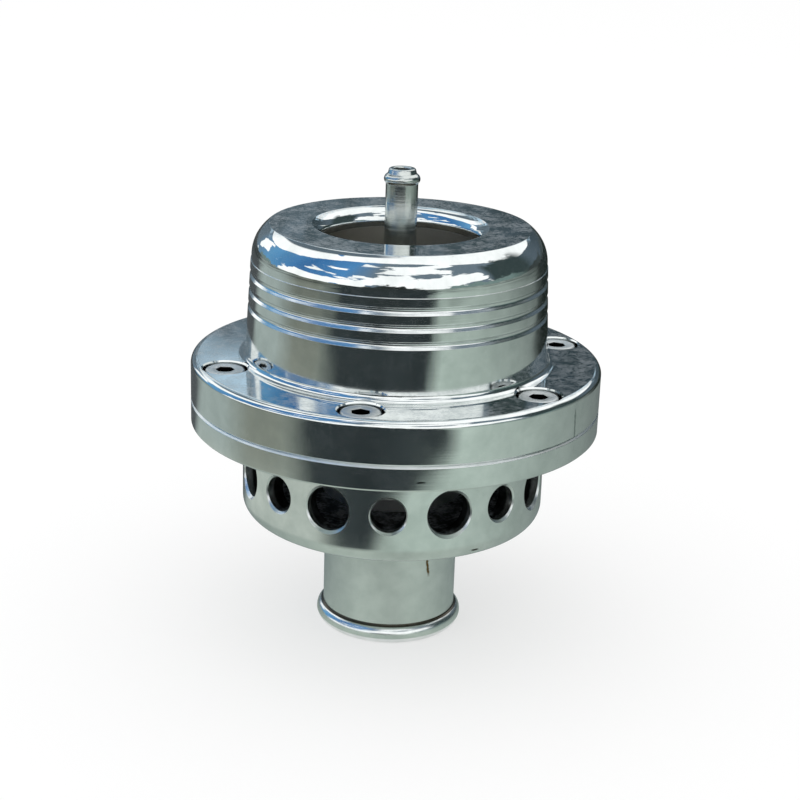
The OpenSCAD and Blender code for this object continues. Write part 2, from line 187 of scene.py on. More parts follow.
def satin_or_mirror(name, polish, film_and_shade, marks=()):
    """Buffed aluminium. Polish lists (height in mm, roughness) from the lowest up. The film entry is a dull
    film on the inside, which is painted shade where its colour is near black: (radius in mm that it stays
    within, from height, to height, hex colour, roughness).
    Marks lists (azimuth from the front in degrees, height, width, length, lean, hex colour), for stains and
    for painted shadow lines."""
    material, tree = new_material(name)
    mm, section, part, radius = on_the_lathe(tree)

    # Lathe marks are about 0.1 mm apart. They are drawn at 0.45 mm, which is as fine as shows.
    lathe = add(tree, "ShaderNodeTexNoise", {"Vector": section, "Scale": 2.2, "Detail": 3.0})
    # Smears from the buffing mop and from hands, about 9 mm across
    smears = add(tree, "ShaderNodeTexNoise", {"Vector": mm, "Scale": 0.11, "Detail": 4.0, "Distortion": 0.6})
    # Fine dust in specks of 0.6 mm and drifts of 3 mm, thicker on the faces that look up
    specks = add(tree, "ShaderNodeTexNoise", {"Vector": mm, "Scale": 1.6, "Detail": 3.0})
    drifts = add(tree, "ShaderNodeTexNoise", {"Vector": mm, "Scale": 0.33, "Detail": 3.0})
    look = add(tree, "ShaderNodeSeparateXYZ", {0: add(tree, "ShaderNodeNewGeometry").outputs["Normal"]})
    upward = add(tree, "ShaderNodeMapRange", {0: look.outputs[2], 1: 0.9, 2: 1.0, 3: 0.08, 4: 1.0})
    dust = where_all(tree, specks, drifts)
    dust = add(tree, "ShaderNodeMapRange", {0: dust, 1: 0.20, 2: 0.36, 3: 0.0, 4: 0.34})
    dust = where_all(tree, dust, upward)

    low, high = polish[0][0], polish[-1][0]
    level = add(tree, "ShaderNodeMapRange", {0: part[2], 1: low, 2: high})
    ramp = add(tree, "ShaderNodeValToRGB", {0: level})
    stops = ramp.color_ramp.elements
    stops.remove(stops[-1])
    for i, (height, rough) in enumerate(polish):
        spot = (height - low) / (high - low)
        stop = stops.new(spot) if i else stops[0]
        stop.position, stop.color = spot, (rough, rough, rough, 1)
    smeared = add(tree, "ShaderNodeMapRange", {0: smears, 1: 0.3, 2: 0.7, 3: -0.02, 4: 0.05})
    rough = add(tree, "ShaderNodeMath", {0: ramp, 1: smeared})
    rough = add(tree, "ShaderNodeMath", {0: rough, 1: 0.02}, operation="MAXIMUM")
    # The edges of the vents aren't buffed, and stay matt.
    drilled_face = add(tree, "ShaderNodeAttribute", attribute_name="drilled").outputs["Fac"]
    rough = add(tree, "ShaderNodeMix", {0: drilled_face, 2: rough, 3: 0.3})

    tone = add(tree, "ShaderNodeMath", {0: smears, 1: drifts})
    tone = add(tree, "ShaderNodeMapRange", {0: tone, 1: 0.7, 2: 1.3})
    colour = add(tree, "ShaderNodeMix", {
        0: tone, 6: linear("#E5E8E7"), 7: linear("#D1D6D4")}, data_type="RGBA")
    # A dull film on the inside, with its own colour and roughness. Where that colour is near black, it is
    # painted shade.
    inside_r, inside_low, inside_high, inside_code, inside_rough = film_and_shade
    inside = add(tree, "ShaderNodeMapRange", {0: radius, 1: inside_r, 2: inside_r - 1.0})
    above = add(tree, "ShaderNodeMapRange", {0: part[2], 1: inside_low - 0.4, 2: inside_low + 0.2})
    below = add(tree, "ShaderNodeMapRange", {0: part[2], 1: inside_high + 0.4, 2: inside_high - 0.2})
    film_and_shade_mask = where_all(tree, inside, above, below)
    colour = add(tree, "ShaderNodeMix", {0: film_and_shade_mask, 6: colour, 7: linear(inside_code)}, data_type="RGBA")
    rough = add(tree, "ShaderNodeMix", {0: film_and_shade_mask, 2: rough, 3: inside_rough})

    forward = add(tree, "ShaderNodeMath", {0: part[1], 1: -1.0}, operation="MULTIPLY")
    azimuth = add(tree, "ShaderNodeMath", {0: part[0], 1: forward}, operation="ARCTAN2")
    # Marks draw stains, and painted shadow lines along creases.
    for turn, height, width, length, lean, code in marks:
        rise = add(tree, "ShaderNodeMath", {0: part[2], 1: height}, operation="SUBTRACT")
        off = add(tree, "ShaderNodeMath", {0: azimuth, 1: math.radians(turn)}, operation="SUBTRACT")
        off = add(tree, "ShaderNodeMath", {0: off, 1: radius}, operation="MULTIPLY")
        off = add(tree, "ShaderNodeMath", {0: rise, 1: lean, 2: off}, operation="MULTIPLY_ADD")
        wave = add(tree, "ShaderNodeMath", {0: specks, 1: 0.5}, operation="SUBTRACT")
        off = add(tree, "ShaderNodeMath", {0: wave, 1: width, 2: off}, operation="MULTIPLY_ADD")
        off = add(tree, "ShaderNodeMath", {0: off}, operation="ABSOLUTE")
        rise = add(tree, "ShaderNodeMath", {0: rise}, operation="ABSOLUTE")
        thin = add(tree, "ShaderNodeMapRange", {0: off, 1: width * 0.7, 2: width * 0.3})
        short = add(tree, "ShaderNodeMapRange", {0: rise, 1: length * 0.5, 2: length * 0.35})
        marked = where_all(tree, thin, short)
        colour = add(tree, "ShaderNodeMix", {0: marked, 6: colour, 7: linear(code)}, data_type="RGBA")

    bump = add(tree, "ShaderNodeBump", {"Strength": 1.0, "Distance": 0.000003, "Height": lathe})
    metal = add(tree, "ShaderNodeBsdfPrincipled", {
        "Base Color": colour, "Metallic": 1.0, "Roughness": rough, "Normal": bump})
    dusty = add(tree, "ShaderNodeBsdfDiffuse", {"Color": linear("#AEB6BC")})
    surface = add(tree, "ShaderNodeMixShader", {0: dust, 1: metal, 2: dusty})
    add(tree, "ShaderNodeOutputMaterial", {0: surface})
    return material


inlet_pipe = turned("inlet_pipe_turned", outline([
    (10.5, 0, 0.4), (12.54, 0, 0.15), *arc(11.8, 1.75, 1.9, -60, 60), (12.5, 3.52, 0.3), (12.5, 26.4),
    (13, 26.4, 0.1), (13, 29, 0.2), (10, 29, 0.2), (10, 22.4, 0.1), (10.5, 22.4, 0.1)]), sides=192)
# Satin brushed aluminium: a pale grey that blurs what it mirrors, with a painted shadow line in the crease
# above the bead and painted shade in the bore
inlet_pipe.data.materials.append(satin_or_mirror(
    "satin_aluminium_pipe", [(0, 0.20), (3.4, 0.20), (4.2, 0.30), (29, 0.30)],
    # Painted shade: the bore is near black.
    film_and_shade=(11.0, 1, 30, "#171816", 0.6),
    # A brown stain, and a painted shadow line all round just above the bead
    marks=[(33.5, 16.0, 0.48, 7.0, 0.15, "#6A4F2A"), (0, 3.5, 200, 0.55, 0, "#4A463E")]))
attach(inlet_pipe, "housing")
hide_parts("inlet_pipe")

# Lower housing: vented body and lower flange, turned from one aluminium bar. Its vents and
# threaded screw holes are drilled, the outside is buffed, and the chamber's inside is painted near black as
# shade.
def settle(piece):
    """Turns a piece's modifiers to the plain mesh that they give."""
    graph = bpy.context.evaluated_depsgraph_get()
    mesh = bpy.data.meshes.new_from_object(piece.evaluated_get(graph))
    piece.modifiers.clear()
    piece.data = mesh
    mesh.name = piece.name


def drilled(piece, *drills):
    """Cuts the drills out of a piece and removes them."""
    for drill in drills:
        cut = piece.modifiers.new("cut", "BOOLEAN")
        cut.operation, cut.solver, cut.object = "DIFFERENCE", "EXACT", drill
    settle(piece)
    for drill in drills:
        bpy.data.objects.remove(drill)


def true_normals(piece, points, reach=0.02, crease=33):
    """Gives every face that lies on the turned outline the outline's own normals, so that
    reflections stay true beside a drilled hole. Tells which face corners lie on the outline."""
    mesh = piece.data
    smooth(mesh, crease)
    a = np.array(points)
    run = np.roll(a, -1, 0) - a
    length = np.linalg.norm(run, axis=1)
    facing = np.stack([run[:, 1], -run[:, 0]], 1) / length[:, None]
    before = np.roll(facing, 1, 0)
    even = (before * facing).sum(1) > math.cos(math.radians(crease))
    mean = before + facing
    mean /= np.linalg.norm(mean, axis=1)[:, None]
    at_start = np.where(even[:, None], mean, facing)
    at_end = np.where(np.roll(even, -1)[:, None], np.roll(mean, -1, 0), facing)

    count = len(mesh.polygons)
    centre, normal = np.zeros(count * 3), np.zeros(count * 3)
    mesh.polygons.foreach_get("center", centre)
    mesh.polygons.foreach_get("normal", normal)
    centre, normal = centre.reshape(-1, 3) * 1000, normal.reshape(-1, 3)
    r = np.hypot(centre[:, 0], centre[:, 1])
    flat = np.stack([r, centre[:, 2]], 1)
    tilt = np.stack([(normal[:, :2] * centre[:, :2]).sum(1) / np.maximum(r, 1e-6), normal[:, 2]], 1)
    best, gap = np.zeros(count, int), np.full(count, 1e9)
    for k in range(len(a)):
        t = np.clip(((flat - a[k]) @ run[k]) / length[k] ** 2, 0, 1)
        away = np.linalg.norm(flat - a[k] - t[:, None] * run[k], axis=1)
        away[(tilt @ facing[k]) < 0.8] = 1e9
        closer = away < gap
        best[closer], gap[closer] = k, away[closer]

    loops = len(mesh.loops)
    vertex, corner = np.zeros(loops, int), np.zeros(loops * 3)
    mesh.loops.foreach_get("vertex_index", vertex)
    mesh.corner_normals.foreach_get("vector", corner)
    corner = corner.reshape(-1, 3)
    sizes = np.zeros(count, int)
    mesh.polygons.foreach_get("loop_total", sizes)
    face = np.repeat(np.arange(count), sizes)
    place = np.zeros(len(mesh.vertices) * 3)
    mesh.vertices.foreach_get("co", place)
    place = place.reshape(-1, 3)[vertex] * 1000
    k = best[face]
    r = np.maximum(np.hypot(place[:, 0], place[:, 1]), 1e-6)
    along = np.stack([r, place[:, 2]], 1) - a[k]
    t = np.clip((along * run[k]).sum(1) / length[k] ** 2, 0, 1)[:, None]
    lean = at_start[k] * (1 - t) + at_end[k] * t
    lean /= np.linalg.norm(lean, axis=1)[:, None]
    turned_normal = np.stack([lean[:, 0] * place[:, 0] / r, lean[:, 0] * place[:, 1] / r, lean[:, 1]], 1)
    on = gap[face] < reach
    corner[on] = turned_normal[on]
    mesh.normals_split_custom_set(corner.tolist())
    return on


def geometry_nodes(name, inputs, output):
    """An empty Geometry Nodes group, the identifiers of its inputs by their names, and their sockets."""
    group = bpy.data.node_groups.new(name, "GeometryNodeTree")
    known = {
        label: group.interface.new_socket(label, in_out="INPUT", socket_type="NodeSocket" + kind).identifier
        for label, kind in inputs.items()}
    group.interface.new_socket(output, in_out="OUTPUT", socket_type="NodeSocketGeometry")
    return group, known, add(group, "NodeGroupInput").outputs


def shaped(piece, group, known, values):
    """Runs a Geometry Nodes group on a piece, with values for its named inputs."""
    modifier = piece.modifiers.new(group.name, "NODES")
    modifier.node_group = group
    for label, value in values.items():
        modifier[known[label]] = value
    settle(piece)
    return piece


# Geometry Nodes: copies of a piece in a ring round the axis, the first one turned from the front.
# Spin gives each copy its own turn, as a spanner leaves them.
ring, ring_inputs, given = geometry_nodes("copies_round_the_axis", {
    "Piece": "Geometry", "Count": "Int", "Radius": "Float", "Turn": "Float", "Spin": "Float", "Seed": "Int",
    "Material": "Material"}, "Copies")
front = add(ring, "ShaderNodeMath", {0: given["Turn"], 1: math.pi / 2}, operation="SUBTRACT")
front_turn = add(ring, "ShaderNodeCombineXYZ", {2: front})
circle = add(ring, "GeometryNodeMeshCircle", {"Vertices": given["Count"], "Radius": given["Radius"]})
places = add(ring, "GeometryNodeTransform", {
    "Geometry": circle,
    "Rotation": add(ring, "FunctionNodeEulerToRotation", {0: front_turn})})
share = add(ring, "ShaderNodeMath", {0: 2 * math.pi, 1: given["Count"]}, operation="DIVIDE")
round_turn = add(ring, "ShaderNodeMath", {
    0: add(ring, "GeometryNodeInputIndex"), 1: share, 2: given["Turn"]},
    operation="MULTIPLY_ADD")
own_turn = add(ring, "FunctionNodeRandomValue", {2: 0.0, 3: given["Spin"], 8: given["Seed"]},
               data_type="FLOAT")
both_turns = add(ring, "ShaderNodeMath", {0: round_turn, 1: own_turn})
copy_turn = add(ring, "ShaderNodeCombineXYZ", {2: both_turns})
copies = add(ring, "GeometryNodeInstanceOnPoints", {
    "Points": places, "Instance": given["Piece"],
    "Rotation": add(ring, "FunctionNodeEulerToRotation", {0: copy_turn})})
real = add(ring, "GeometryNodeRealizeInstances", {0: copies})
finished = add(ring, "GeometryNodeSetMaterial", {0: real, "Material": given["Material"]})
add(ring, "NodeGroupOutput", {0: finished})


def round_the_axis(piece, count, radius, turn, spin=0.0, seed=0, material=None):
    """Repeats a piece round the axis. Radius is in mm and the turns are in degrees."""
    values = {"Count": count, "Radius": radius / 1000, "Turn": math.radians(turn),
              "Spin": math.radians(spin), "Seed": seed}
    if material:
        values["Material"] = material
    return shaped(piece, ring, ring_inputs, values)


lower_outline = outline([
    (12.55, 22.4, 0.2), (28, 22.4, 3.0), (28, 40, 0.3),
    (37.15, 40, 0.1), (37.5, 40.35, 0.1), (37.5, 44.15, 0.1), (37.15, 44.5, 0.1),
    (29.1, 44.5, 0.1), (29.1, 41.9, 0.2), (26.7, 41.9, 0.2), (26.7, 43.3, 0.1), (24.4, 43.3, 0.2),
    (24.4, 26.4, 0.8), (12.55, 26.4, 0.2)])
lower_housing = turned("lower_housing_turned", lower_outline, sides=288)

VENT_PAIRS, VENT_HEIGHT, VENT_TURN, SMALL_VENT, LARGE_VENT = 8, 31.7, -1.0, 3.15, 4.0
SCREW_HOLES = {"count": 6, "radius": 32.25, "turn": -10}


def vent_drill(name, radius, turn, bite=0.25, body=28.0, chamber=24.4, past=0.5):
    """Drill for one size of vent, which also takes the sharp edge off the outside."""
    edge = math.sqrt(body ** 2 - radius ** 2) - bite
    inner = math.sqrt(chamber ** 2 - radius ** 2) - past
    wide = radius + body + past - edge
    drill = turned(name, [
        (0, inner), (radius, inner), (radius, edge), (wide, body + past), (0, body + past)],
        sides=72, closed=False)
    for v in drill.data.vertices:
        v.co = (v.co.x, -v.co.z, v.co.y + VENT_HEIGHT / 1000)
    return round_the_axis(drill, VENT_PAIRS, 0, turn)


thread_drill = turned("thread_drill", [(0, 39.4), (2.65, 39.4), (2.05, 40.35), (2.05, 45), (0, 45)],
                      sides=48, closed=False)
drilled(lower_housing,
        vent_drill("small_vents", SMALL_VENT, VENT_TURN),
        vent_drill("large_vents", LARGE_VENT, VENT_TURN + 180 / VENT_PAIRS),
        round_the_axis(thread_drill, **SCREW_HOLES))
on_outline = true_normals(lower_housing, lower_outline)
drilled_face = lower_housing.data.attributes.new("drilled", "FLOAT", "CORNER")
drilled_face.data.foreach_set("value", np.where(on_outline, 0.0, 1.0))
# Buffed aluminium: a soft mirror that shows shapes with blurred edges, and painted shade, near black, on the
# inside
lower_housing.data.materials.append(satin_or_mirror(
    "buffed_aluminium_body",
    [(22.4, 0.20), (26, 0.14), (39, 0.14), (40.5, 0.11), (44.05, 0.11), (44.15, 0.30), (44.5, 0.30)],
    # Painted shade: the chamber's inside is near black.
    film_and_shade=(27.3, 26.2, 44, "#171816", 0.6),
    marks=[(7.3, 41.8, 1.3, 0.35, 0, "#3A3D3D"), (32.5, 24.1, 1.5, 0.5, 0.5, "#3B3A34")]))
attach(lower_housing, "housing")
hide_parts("lower_housing")

# Poppet: a disc turned from aluminium, with a boss for the stem and a groove for its seal.
# It is screwed onto the stem's lower end, and it is anodised black, painted darker still as shade behind the
# vents.
def turned_metal(name, pale, dark, rough, spacing, painted_shade=None):
    """Metal as it comes off the lathe: fine rings round the axis, drawn at the spacing in mm. The last
    argument is the hex colour of painted shade in recesses, which lies where the mesh's attribute of that
    name says."""
    material, tree = new_material(name)
    mm, section = on_the_lathe(tree)[:2]
    marks = add(tree, "ShaderNodeTexNoise", {"Vector": section, "Scale": 1 / spacing, "Detail": 2.0})
    smears = add(tree, "ShaderNodeTexNoise", {"Vector": mm, "Scale": 0.3, "Detail": 4.0})
    tone = add(tree, "ShaderNodeMix", {0: smears, 6: linear(pale), 7: linear(dark)}, data_type="RGBA")
    # Painted shade: where the mesh's attribute says, the colour turns near black.
    if painted_shade:
        in_painted_shade = add(tree, "ShaderNodeAttribute", attribute_name="painted_shade").outputs["Fac"]
        tone = add(tree, "ShaderNodeMix", {0: in_painted_shade, 6: tone, 7: linear(painted_shade)}, data_type="RGBA")
    uneven = add(tree, "ShaderNodeMapRange", {0: marks, 1: 0.3, 2: 0.7, 3: rough * 0.75, 4: rough * 1.3})
    bump = add(tree, "ShaderNodeBump", {"Strength": 1.0, "Distance": 0.00001, "Height": marks})
    surface = add(tree, "ShaderNodeBsdfPrincipled", {
        "Base Color": tone, "Metallic": 1.0, "Roughness": uneven, "Normal": bump})
    add(tree, "ShaderNodeOutputMaterial", {0: surface})
    return material


valve_head = turned("valve_head_turned", outline([
    (0, 29.45), (10.3, 29.45, 0.1), (10.3, 31.05, 0.1), (12.7, 31.05, 0.1), (12.7, 29.45, 0.1),
    (14.5, 29.45, 0.3), (14.5, 32.45, 0.4), (6, 32.45, 0.6), (6, 35.45, 0.4), (3.05, 35.45, 0.2),
    (3.05, 30.95, 0.1), (0, 30.95)], closed=False), closed=False)
# Black anodised aluminium: nearly black with a dull sheen, darkened further as painted shade so that the
# vents look dark
valve_head.data.materials.append(turned_metal("black_anodised_and_shaded_poppet", "#1F2020", "#151616", 0.5, 0.4))
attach(valve_head, "valve")
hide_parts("valve_head")

# Seat seal: a ring moulded from rubber and pressed into the poppet's groove.
# It meets the seat on the pipe's end and shuts the valve.
def moulded_rubber(name, dark, dusty):
    """Rubber with the fine grain of its mould, 0.25 mm wide, and a bloom in patches of 4 mm."""
    material, tree = new_material(name)
    place = add(tree, "ShaderNodeTexCoord").outputs["Object"]
    mm = add(tree, "ShaderNodeVectorMath", {0: place, "Scale": 1000.0}, operation="SCALE")
    grain = add(tree, "ShaderNodeTexNoise", {"Vector": mm, "Scale": 4.0, "Detail": 2.0})
    bloom = add(tree, "ShaderNodeTexNoise", {"Vector": mm, "Scale": 0.25, "Detail": 4.0})
    tone = add(tree, "ShaderNodeMix", {0: bloom, 6: linear(dark), 7: linear(dusty)}, data_type="RGBA")
    rough = add(tree, "ShaderNodeMapRange", {0: bloom, 1: 0.3, 2: 0.7, 3: 0.55, 4: 0.75})
    bump = add(tree, "ShaderNodeBump", {"Strength": 0.4, "Distance": 0.00003, "Height": grain})
    surface = add(tree, "ShaderNodeBsdfPrincipled", {"Base Color": tone, "Roughness": rough, "Normal": bump})
    add(tree, "ShaderNodeOutputMaterial", {0: surface})
    return material


# Moulded rubber: a matt black, greyer where it has bloomed
black_rubber = moulded_rubber("moulded_black_rubber", "#17181A", "#2C2D2F")
seat_seal = turned("seat_seal_moulded", outline([
    (10.3, 29.05, 0.4), (12.7, 29.05, 0.4), (12.7, 31.05, 0.2), (10.3, 31.05, 0.2)]))
seat_seal.data.materials.append(black_rubber)
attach(seat_seal, "valve")
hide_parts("seat_seal")

# Valve stem: turned and blackened steel, with a thread at each end. The poppet is screwed on below,
# and the diaphragm with its plates is clamped on the upper thread. The thread is drawn as rings.
def thread(radius, low, high, pitch, depth):
    """Zigzag of a thread's crests and roots, from the lower height to the upper one."""
    count = int((high - low) / pitch)
    zigzag = []
    for i in range(count):
        zigzag += [(radius, low + pitch * (i + 0.15)), (radius, low + pitch * (i + 0.35)),
                   (radius - depth, low + pitch * (i + 0.75))]
    return [(radius, low)] + zigzag + [(radius, low + pitch * count)]


valve_stem = turned("valve_stem_turned", [
    (0, 30.95), (2.6, 30.95), *thread(3.0, 31.3, 35.3, 1.0, 0.5), (3.0, 35.45), (3.8, 35.45), (4, 35.65),
    (4, 38.4), (3.8, 38.6), (3.0, 38.6), *thread(3.0, 38.8, 48.8, 1.0, 0.5), (2.7, 49.2), (0, 49.2)],
    sides=64, closed=False)
# Blackened steel: dark grey, with a weak sheen along the turning marks
valve_stem.data.materials.append(turned_metal("blackened_steel_stem", "#3E3F40", "#2B2C2D", 0.38, 0.4))
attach(valve_stem, "valve")
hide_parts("valve_stem")

# Diaphragm plate: a disc pressed from steel sheet and phosphated black. It lies under the
# diaphragm's middle, and the stem's shoulder carries it.
diaphragm_plate = turned("diaphragm_plate_pressed", outline([
    (3.05, 38.6, 0.1), (17.8, 38.6, 0.4), (17.8, 39.8, 0.2), (3.05, 39.8, 0.1)]))
# Phosphated sheet: an even and dull dark grey
diaphragm_plate.data.materials.append(turned_metal("black_phosphated_sheet", "#323230", "#242423", 0.5, 1.2))
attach(diaphragm_plate, "valve")
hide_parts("diaphragm_plate")

# Diaphragm: moulded rubber with a beaded rim, clamped between the flanges, and a middle that
# is clamped on the stem. Its sloping web turns over as the valve lifts.
WEB_RUN, WEB_RISE = 6.0, 3.5
diaphragm = turned("diaphragm_moulded", outline([
    (3.05, 39.8, 0.1), (11, 39.8), (18.4, 39.8, 1.5),
    *[(18.4 + WEB_RUN * k / 8, 39.8 + WEB_RISE * k / 8) for k in range(2, 7)], (24.4, 43.3, 1.5),
    (26.8, 43.3, 0.2), (26.8, 42.0, 0.3), (29, 42.0, 0.3), (29, 44.5, 0.1), (24.4, 44.5, 1.5),
    *[(24.4 - WEB_RUN * k / 8, 44.5 - WEB_RISE * k / 8) for k in range(2, 7)], (18.4, 41, 1.5),
    (11, 41), (3.05, 41, 0.1)]), sides=144)
diaphragm.data.materials.append(black_rubber)
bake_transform(diaphragm)
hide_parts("diaphragm")

# Spring cup: pressed and zinc plated steel on top of the diaphragm's middle. Its brim stands
# above the web and carries the return spring.
spring_cup = turned("spring_cup_pressed", outline([
    (3.05, 41, 0.1), (17.8, 41, 1.3), (17.8, 48.1, 0.5), (22.55, 48.1, 0.2), (22.55, 49.3, 0.4),
    (16.6, 49.3, 1.3), (16.6, 42.2, 0.5), (3.05, 42.2, 0.1)]), sides=144)
# Zinc plate on sheet: a pale and slightly warm grey, between satin and bright
zinc_plate = turned_metal("zinc_plated_sheet", "#B4B5AE", "#9A9C98", 0.34, 1.2)
spring_cup.data.materials.append(zinc_plate)
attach(spring_cup, "valve")
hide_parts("spring_cup")

# Stem washer: a plain washer punched from steel and zinc plated. It lies on the cup's floor
# and spreads the nut's load.
stem_washer = turned("stem_washer_punched", outline([
    (3.05, 42.2, 0.1), (6.2, 42.2, 0.1), (6.2, 43.4, 0.25), (3.05, 43.4, 0.15)]), sides=72)
stem_washer.data.materials.append(zinc_plate)
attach(stem_washer, "valve")
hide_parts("stem_washer")

# Stem nut: a hexagon nut of zinc plated steel, cold formed and then threaded. It clamps the
# diaphragm, its plates and the washer on the stem.
def flats(angle, width):
    """Radius of a hexagon of that width across flats, at an angle from one of its corners."""
    return width / 2 / math.cos((angle % (math.pi / 3)) - math.pi / 6)


NUT_FLATS = 10.0
stem_nut = turned("stem_nut_hexagon", [
    (3.05, 43.4), (4.95, 43.4), (5.77, 43.85), (5.77, 47.95), (4.95, 48.4), (3.3, 48.4), (3.05, 48.15)],
    sides=72)
for v in stem_nut.data.vertices:
    reach = math.hypot(v.co.x, v.co.y)
    limit = flats(math.atan2(v.co.y, v.co.x), NUT_FLATS) / 1000
    if reach > limit:
        v.co.x, v.co.y = v.co.x * limit / reach, v.co.y * limit / reach
smooth(stem_nut.data)
stem_nut.data.materials.append(zinc_plate)
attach(stem_nut, "valve")
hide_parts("stem_nut")

# Return spring: 2.4 mm drawn steel wire wound cold into five turns, with close end turns.
# It stands on the cup's brim and pushes the valve shut.
coil, coil_inputs, given = geometry_nodes("wire_wound_round_the_axis", {
    "Start": "Geometry", "Turns": "Float", "Radius": "Float", "Wire": "Float", "Foot": "Float",
    "Close rise": "Float", "Open rise": "Float", "Steps": "Int", "Material": "Material"}, "Spring")
line = add(coil, "GeometryNodeCurvePrimitiveLine")
path = add(coil, "GeometryNodeResampleCurve", {"Curve": line, "Count": given["Steps"]})
way = add(coil, "GeometryNodeSplineParameter").outputs["Factor"]
done = add(coil, "ShaderNodeMath", {0: way, 1: given["Turns"]}, operation="MULTIPLY")
angle = add(coil, "ShaderNodeMath", {0: done, 1: 2 * math.pi}, operation="MULTIPLY")
last_start = add(coil, "ShaderNodeMath", {0: given["Turns"], 1: 1.0}, operation="SUBTRACT")
foot_turn = add(coil, "ShaderNodeMapRange", {0: done, 1: 0.0, 2: 1.0, 3: 0.0, 4: given["Close rise"]})
open_turns = add(coil, "ShaderNodeMapRange", {0: done, 1: 1.0, 2: last_start, 3: 0.0, 4: given["Open rise"]})
head_turn = add(coil, "ShaderNodeMapRange", {
    0: done, 1: last_start, 2: given["Turns"], 3: 0.0, 4: given["Close rise"]})
rise = add(coil, "ShaderNodeMath", {0: foot_turn, 1: open_turns})
rise = add(coil, "ShaderNodeMath", {0: rise, 1: head_turn})
rise = add(coil, "ShaderNodeMath", {0: rise, 1: given["Foot"]})
east = add(coil, "ShaderNodeMath", {
    0: add(coil, "ShaderNodeMath", {0: angle}, operation="COSINE"), 1: given["Radius"]},
    operation="MULTIPLY")
north = add(coil, "ShaderNodeMath", {
    0: add(coil, "ShaderNodeMath", {0: angle}, operation="SINE"), 1: given["Radius"]},
    operation="MULTIPLY")
spot = add(coil, "ShaderNodeCombineXYZ", {0: east, 1: north, 2: rise})
wound = add(coil, "GeometryNodeSetPosition", {"Geometry": path, "Position": spot})
wire_radius = add(coil, "ShaderNodeMath", {0: given["Wire"], 1: 0.5}, operation="MULTIPLY")
wire = add(coil, "GeometryNodeCurvePrimitiveCircle", {"Resolution": 20, "Radius": wire_radius})
swept = add(coil, "GeometryNodeCurveToMesh", {
    "Curve": wound, "Profile Curve": wire, "Fill Caps": True})
solid = add(coil, "GeometryNodeRealizeInstances", {0: swept})
finished = add(coil, "GeometryNodeSetMaterial", {0: solid, "Material": given["Material"]})
add(coil, "NodeGroupOutput", {0: finished})

SPRING_FOOT, SPRING_HEAD, SPRING_RADIUS, WIRE, SPRING_TURNS = 49.4, 72.1, 19.875, 2.4, 5
close_rise = WIRE * 1.05
open_rise = SPRING_HEAD - SPRING_FOOT - WIRE - 2 * close_rise
# Drawn wire: a mid grey with a soft line of light along each turn
spring_steel = turned_metal("drawn_spring_wire", "#8A8C8E", "#6C6E70", 0.32, 0.8)
return_spring = placed("return_spring_wound", bpy.data.meshes.new("return_spring_wound"))
shaped(return_spring, coil, coil_inputs, {
    "Turns": float(SPRING_TURNS), "Radius": SPRING_RADIUS / 1000, "Wire": WIRE / 1000,
    "Foot": (SPRING_FOOT + WIRE / 2) / 1000, "Close rise": close_rise / 1000,
    "Open rise": open_rise / 1000, "Steps": 48 * SPRING_TURNS + 1, "Material": spring_steel})
smooth(return_spring.data, 50)
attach(return_spring, "housing")
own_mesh(return_spring)
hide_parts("return_spring")

# Spring shim: a flat ring punched from steel and zinc plated. It lies under the cap's roof
# and keeps the spring's end from biting into the aluminium.
spring_shim = turned("spring_shim_punched", outline([
    (16.6, 72.2, 0.1), (23.15, 72.2, 0.1), (23.15, 73, 0.1), (16.6, 73, 0.1)]))
spring_shim.data.materials.append(zinc_plate)
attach(spring_shim, "housing")
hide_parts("spring_shim")

# Upper housing: cap with a well in its top, three grooves, a round shoulder and the upper
# flange, turned from one aluminium bar. Six counterbores take the screws. Buffed to a mirror.
def cap_side(height):
    """Radius of the cap's leaning side at a height."""
    return 27.7 - 0.95 * (height - 52.3) / (70.19 - 52.3)


# The mop polishes neither the grooves nor the chamfer at the flanges' joint, which stay satin.
GROOVE_HEIGHTS, GROOVE_HALF, GROOVE_DEPTH = (62.1, 65.03, 67.96), 0.7, 0.55
grooves, satin_grooves = [], []
for z in GROOVE_HEIGHTS:
    low, high = z - GROOVE_HALF, z + GROOVE_HALF
    grooves += [(cap_side(low), low, 0.1), (cap_side(z) - GROOVE_DEPTH, z, 0.6), (cap_side(high), high, 0.1)]
    satin_grooves += [(z - 0.75, 0.04), (z - 0.62, 0.14), (z + 0.62, 0.14), (z + 0.75, 0.04)]
upper_outline = outline([
    (23.25, 44.5, 0.3), (37.15, 44.5, 0.1), (37.5, 44.85, 0.1), (37.5, 52.3, 1.3), (27.7, 52.3, 1.3),
    *grooves, (26.75, 70.19, 0.06), (26.6, 70.19, 0.04),
    *arc(19.6, 70.9, 7, 0, 54), (23.52, 76.7, 0.25), (15.92, 76.7, 0.3), *arc(17, 73.9, 3, 114, 180),
    (14, 64, 0.5), (2.95, 64, 0.1), (2.95, 61, 0.1), (16.5, 61, 0.5), (16.5, 73, 0.8), (23.25, 73, 1.2)])
upper_housing = turned("upper_housing_turned", upper_outline, sides=288)
counterbore_drill = turned("counterbore_drill", [
    (0, 44), (2.2, 44), (2.2, 48.1), (4.0, 48.1), (4.0, 52.06), (4.3, 52.36), (4.3, 54.1), (0, 54.1)],
    sides=72, closed=False)
drilled(upper_housing, round_the_axis(counterbore_drill, **SCREW_HOLES))
true_normals(upper_housing, upper_outline)
